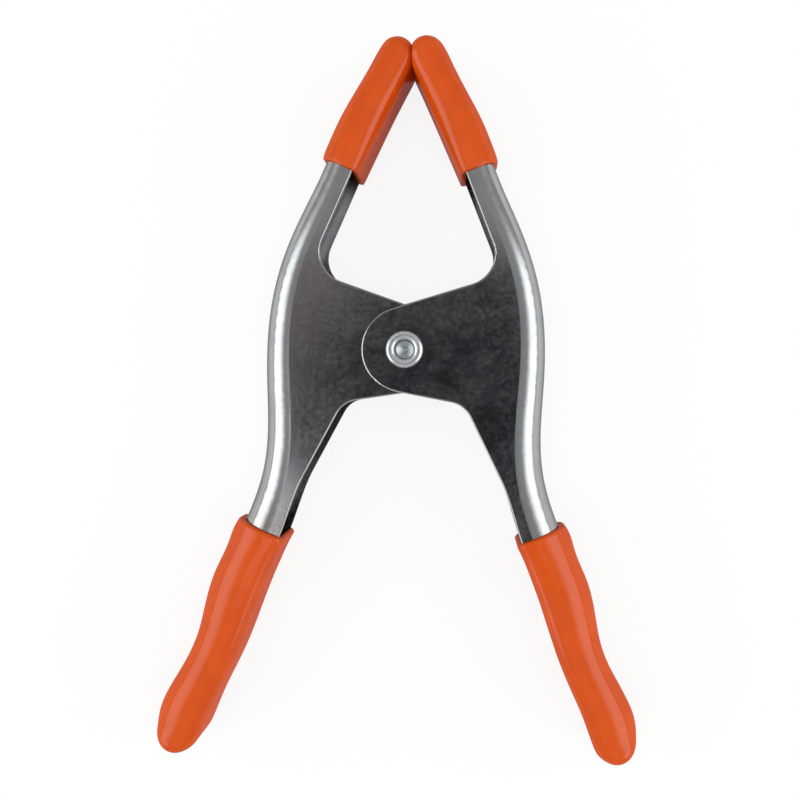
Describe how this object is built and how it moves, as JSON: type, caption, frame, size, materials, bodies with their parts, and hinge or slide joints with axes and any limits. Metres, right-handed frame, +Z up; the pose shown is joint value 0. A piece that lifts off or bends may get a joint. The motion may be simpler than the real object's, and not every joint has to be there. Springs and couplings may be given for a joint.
{
  "type": "spring clamp",
  "caption": "Steel spring clamp with sleeved jaws and handles, closed by a torsion spring round its rivet and opened by squeezing the handles.",
  "frame": {"origin": "under the middle of the clamp's bounding box, on the surface that it lies on", "axes": "+Y towards the jaw tips, +X towards the lever whose ear is on top, +Z up along the rivet's axis"},
  "size_m": [0.1512, 0.226, 0.0294],
  "materials": {
    "plated_steel": "bright plated, lightly mottled",
    "orange_vinyl": "glossy, dip-moulded",
    "rivet_steel": "bright plated",
    "spring_steel": "drawn wire, oiled"
  },
  "bodies": {
    "right_lever": {"right_arm": "plated_steel", "right_jaw_tip": "orange_vinyl", "right_handle_grip": "orange_vinyl", "pivot_rivet": "rivet_steel", "torsion_spring": "spring_steel"},
    "left_lever": {"left_arm": "plated_steel", "left_jaw_tip": "orange_vinyl", "left_handle_grip": "orange_vinyl"}
  },
  "joints": [
    {"name": "jaw_hinge", "type": "hinge", "parent": "right_lever", "child": "left_lever", "pos_m": [0, 0.0148, 0.01472], "axis": [0, 0, 1], "range_deg": [0, 52], "stiffness_Nm_per_rad": 4, "springref_deg": -20.05, "deforming": ["torsion_spring"]}
  ]
}
